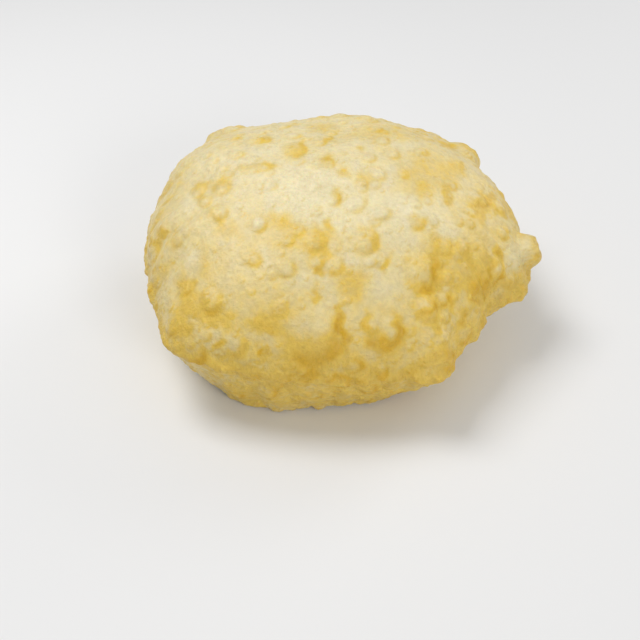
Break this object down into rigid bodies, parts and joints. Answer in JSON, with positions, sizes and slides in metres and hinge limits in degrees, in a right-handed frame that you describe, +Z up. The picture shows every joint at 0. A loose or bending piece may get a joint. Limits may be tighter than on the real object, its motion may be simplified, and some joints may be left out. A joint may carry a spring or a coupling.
{
  "type": "bhatura, puffed fried bread",
  "caption": "Leavened fried bread puffed into a closed blistered balloon with a crimped rim and pinched stubs.",
  "frame": {"origin": "middle of the flat spot that the bread rests on", "axes": "+X to the pinched right end, +Y to the back, +Z up"},
  "size_m": [0.2269, 0.1964, 0.1019],
  "materials": {
    "fried_crust": "fried dough, lightly oiled satin"
  },
  "bodies": {
    "root": {"bhatura": "fried_crust"}
  },
  "joints": []
}
